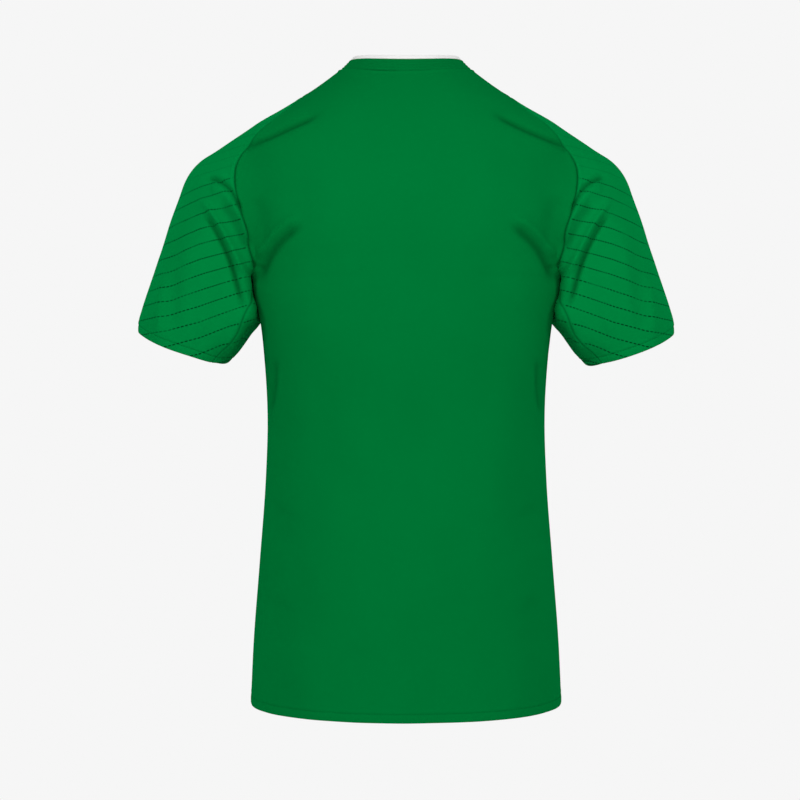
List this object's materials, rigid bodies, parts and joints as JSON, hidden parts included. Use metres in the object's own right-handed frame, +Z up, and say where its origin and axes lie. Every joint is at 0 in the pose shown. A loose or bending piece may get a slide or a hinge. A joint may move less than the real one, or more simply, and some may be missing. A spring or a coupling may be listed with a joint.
{
  "type": "football jersey",
  "caption": "Short-sleeved crew-neck football jersey in green knit, filled out as if worn, with raglan-style sleeves, a ribbed collar with a white edge, and open neck, cuffs and hem",
  "frame": {"origin": "inside the neck opening, level with the neck ends of the shoulder seams and half way from front to back, where the wearer's shoulders hold the jersey", "axes": "+Z up from the hem to the collar, -Y out of the front, +Y out of the back, +X towards the wearer's left sleeve"},
  "size_m": [0.62, 0.2481, 0.7556],
  "materials": {
    "body_knit": "smooth fine polyester knit",
    "sleeve_knit": "smooth fine polyester knit with rows of fine perforations",
    "collar_rib": "fine rib knit",
    "edge_white": "woven edging"
  },
  "bodies": {
    "root": {"back_panel": "body_knit", "front_panel": "body_knit", "sleeve_left": "sleeve_knit", "sleeve_right": "sleeve_knit", "collar": "collar_rib", "collar_edge": "edge_white"}
  },
  "joints": []
}
